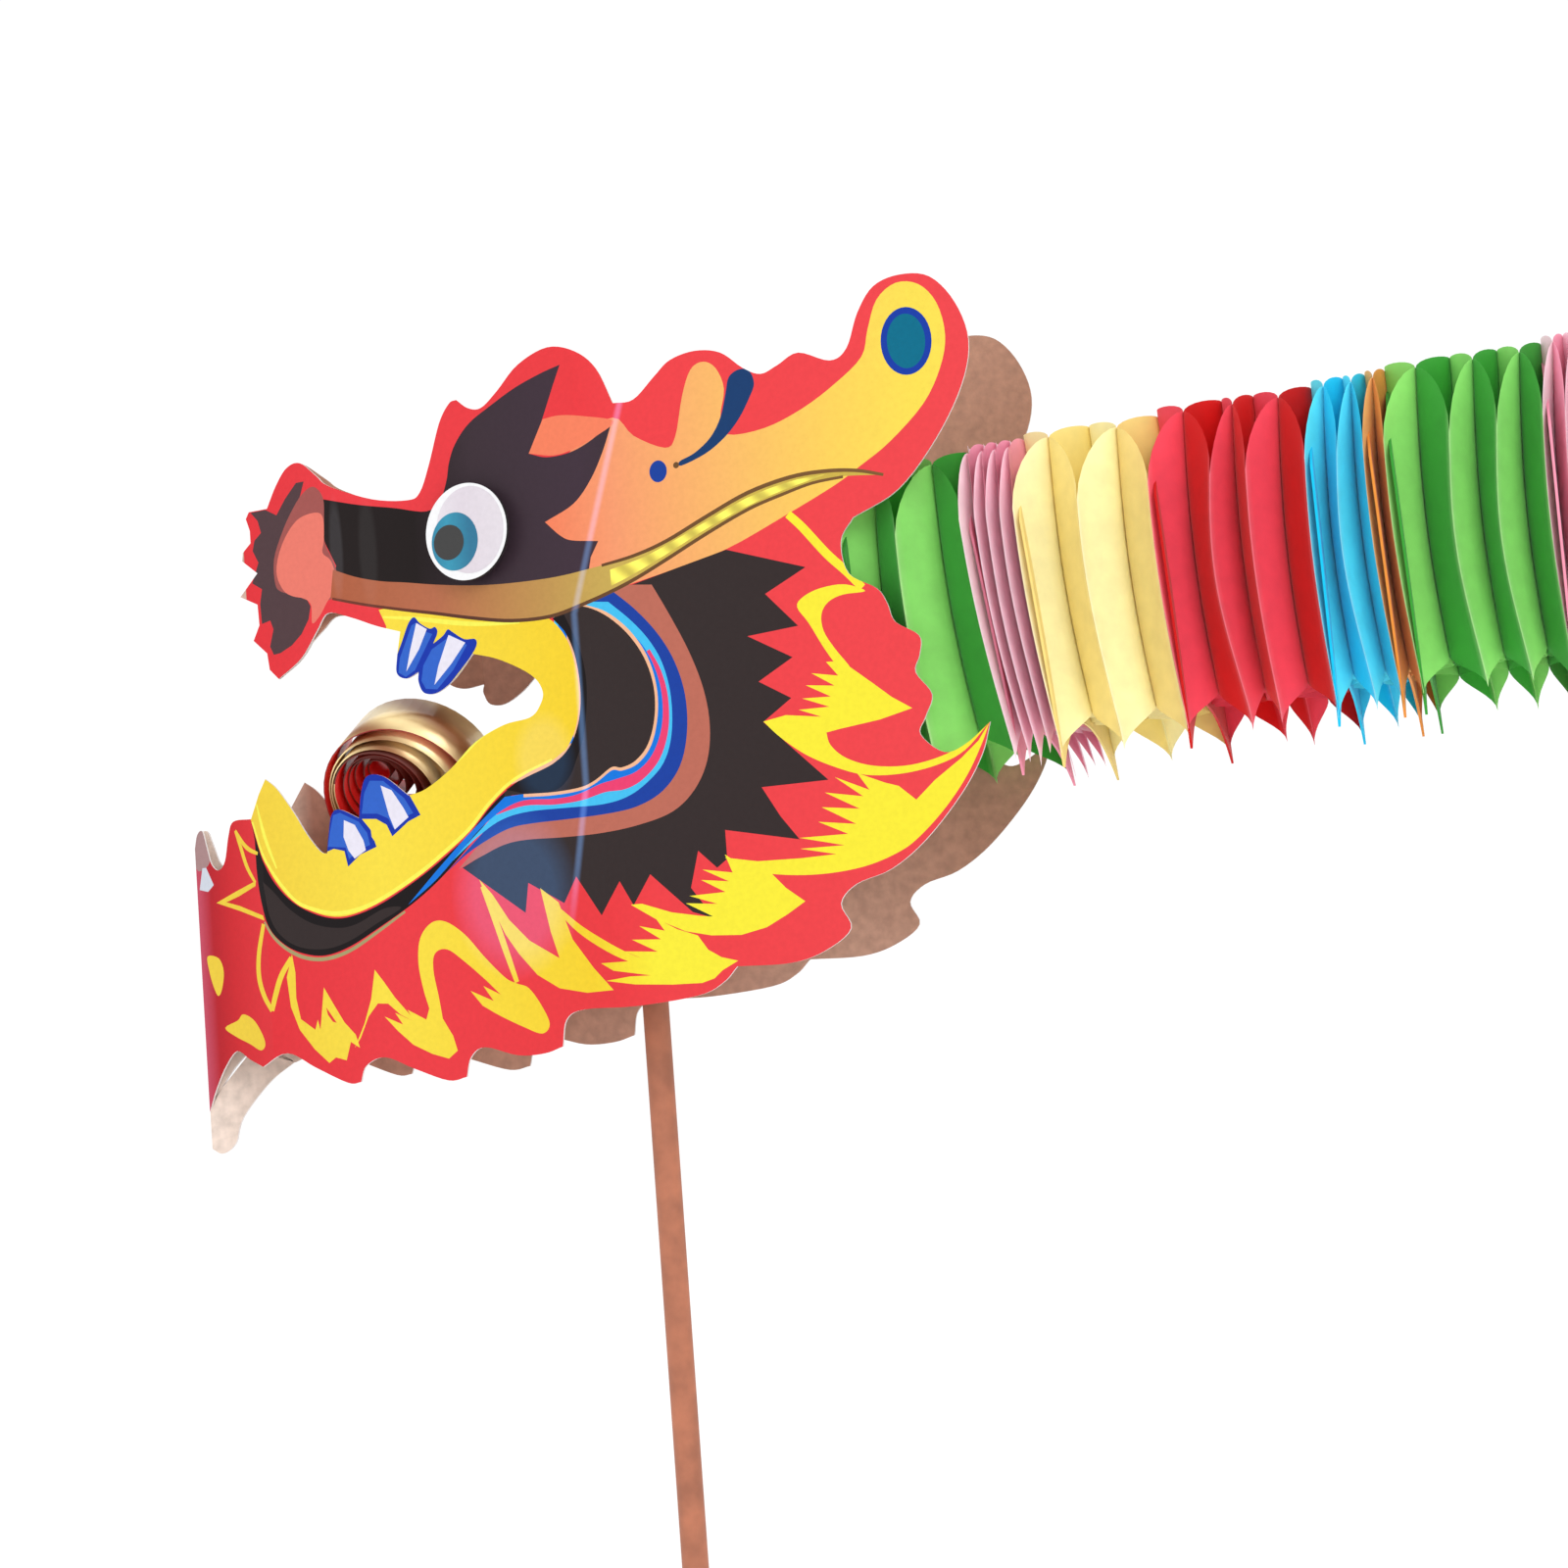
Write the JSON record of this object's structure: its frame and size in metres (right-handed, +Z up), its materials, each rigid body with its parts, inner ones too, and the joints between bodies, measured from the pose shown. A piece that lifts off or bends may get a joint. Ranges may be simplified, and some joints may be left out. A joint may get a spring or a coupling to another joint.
{
  "type": "dragon parade puppet",
  "caption": "Hand-held paper dragon: folded printed head card, pleated coloured body and flame tail card, each end carried on a round wooden stick.",
  "frame": {"origin": "centre of the bottom end of the head stick", "axes": "+Z up along the head stick, nose towards -X, tail towards +X, Y across the body, near side -Y"},
  "size_m": [0.577, 0.06, 0.342],
  "materials": {
    "printed_card": "satin",
    "plain_card": "matte",
    "eye_print": "gloss",
    "foam": "matte",
    "stick_wood": "matte",
    "tape": "satin",
    "gold_foil": "satin",
    "green_paper": "satin",
    "pink_paper": "satin",
    "yellow_paper": "satin",
    "red_paper": "satin",
    "blue_paper": "satin",
    "orange_paper": "satin"
  },
  "bodies": {
    "head": {"head_card": "printed_card", "near_eye_pad": "foam", "near_eye_disc": "eye_print", "far_eye_pad": "foam", "far_eye_disc": "eye_print", "head_stick": "stick_wood", "head_stick_bridge": "plain_card", "head_stick_tapes": "tape", "tongue_bridge": "plain_card", "tongue_foot": "gold_foil", "neck_leaf": "green_paper", "pleats_green_1": "green_paper"},
    "tongue": {"tongue_coil": "gold_foil", "tongue_tab": "gold_foil"},
    "leaf_01": {"leaf_01": "pink_paper", "pleats_pink_1": "pink_paper"},
    "leaf_02": {"leaf_02": "yellow_paper", "pleats_yellow_1": "yellow_paper"},
    "leaf_03": {"leaf_03": "red_paper", "pleats_red_1": "red_paper"},
    "leaf_04": {"leaf_04": "blue_paper", "pleats_blue_1": "blue_paper"},
    "leaf_05": {"leaf_05": "orange_paper", "pleats_orange_1": "orange_paper"},
    "leaf_06": {"leaf_06": "green_paper", "pleats_green_2": "green_paper"},
    "leaf_07": {"leaf_07": "pink_paper", "pleats_pink_2": "pink_paper"},
    "leaf_08": {"leaf_08": "yellow_paper", "pleats_yellow_2": "yellow_paper"},
    "leaf_09": {"leaf_09": "red_paper", "pleats_red_2": "red_paper"},
    "leaf_10": {"leaf_10": "blue_paper", "pleats_blue_2": "blue_paper"},
    "leaf_11": {"leaf_11": "orange_paper", "pleats_orange_2": "orange_paper"},
    "leaf_12": {"leaf_12": "green_paper", "pleats_green_3": "green_paper"},
    "tail": {"tail_leaf": "green_paper", "tail_card": "printed_card", "tail_stick": "stick_wood", "tail_stick_bridge": "plain_card", "tail_stick_tapes": "tape"}
  },
  "joints": [
    {"name": "tongue_wag", "type": "hinge", "parent": "head", "child": "tongue", "pos_m": [-0.0331, 0, 0.2248], "axis": [0, 1, 0], "range_deg": [-6, 8]},
    {"name": "green_1_yaw", "type": "hinge", "parent": "head", "child": "leaf_01", "pos_m": [0.07562, 0, 0.2677], "axis": [0, 0, 1], "range_deg": [-10, 10], "deforming": ["pleats_green_1"]},
    {"name": "pink_1_stretch", "type": "slide", "parent": "leaf_01", "child": "leaf_02", "axis": [1, 0, 0], "range_m": [-0.003, 0.06], "deforming": ["pleats_pink_1"]},
    {"name": "yellow_1_lift", "type": "hinge", "parent": "leaf_02", "child": "leaf_03", "pos_m": [0.11463, 0, 0.26946], "axis": [0, -1, 0], "range_deg": [-15, 15], "deforming": ["pleats_yellow_1"]},
    {"name": "red_1_yaw", "type": "hinge", "parent": "leaf_03", "child": "leaf_04", "pos_m": [0.14338, 0, 0.27075], "axis": [0, 0, 1], "range_deg": [-30, 30], "deforming": ["pleats_red_1"]},
    {"name": "blue_1_stretch", "type": "slide", "parent": "leaf_04", "child": "leaf_05", "axis": [1, 0, 0], "range_m": [-0.004, 0.03], "deforming": ["pleats_blue_1"]},
    {"name": "orange_1_stretch", "type": "slide", "parent": "leaf_05", "child": "leaf_06", "axis": [1, 0, 0], "range_m": [-0.0008, 0.015], "deforming": ["pleats_orange_1"]},
    {"name": "green_2_lift", "type": "hinge", "parent": "leaf_06", "child": "leaf_07", "pos_m": [0.18862, 0, 0.27279], "axis": [0, -1, 0], "range_deg": [-15, 15], "deforming": ["pleats_green_2"]},
    {"name": "pink_2_stretch", "type": "slide", "parent": "leaf_07", "child": "leaf_08", "axis": [1, 0, 0], "range_m": [-0.006, 0.06], "deforming": ["pleats_pink_2"]},
    {"name": "yellow_2_yaw", "type": "hinge", "parent": "leaf_08", "child": "leaf_09", "pos_m": [0.2315, 0, 0.27472], "axis": [0, 0, 1], "range_deg": [-25, 25], "deforming": ["pleats_yellow_2"]},
    {"name": "red_2_twist", "type": "hinge", "parent": "leaf_09", "child": "leaf_10", "pos_m": [0.2595, 0, 0.27598], "axis": [1, 0, 0], "range_deg": [-20, 20], "deforming": ["pleats_red_2"]},
    {"name": "blue_2_stretch", "type": "slide", "parent": "leaf_10", "child": "leaf_11", "axis": [1, 0, 0], "range_m": [-0.005, 0.03], "deforming": ["pleats_blue_2"]},
    {"name": "orange_2_stretch", "type": "slide", "parent": "leaf_11", "child": "leaf_12", "axis": [1, 0, 0], "range_m": [-0.001, 0.015], "deforming": ["pleats_orange_2"]},
    {"name": "green_3_lift", "type": "hinge", "parent": "leaf_12", "child": "tail", "pos_m": [0.305, 0, 0.27802], "axis": [0, -1, 0], "range_deg": [-15, 15], "deforming": ["pleats_green_3"]}
  ]
}
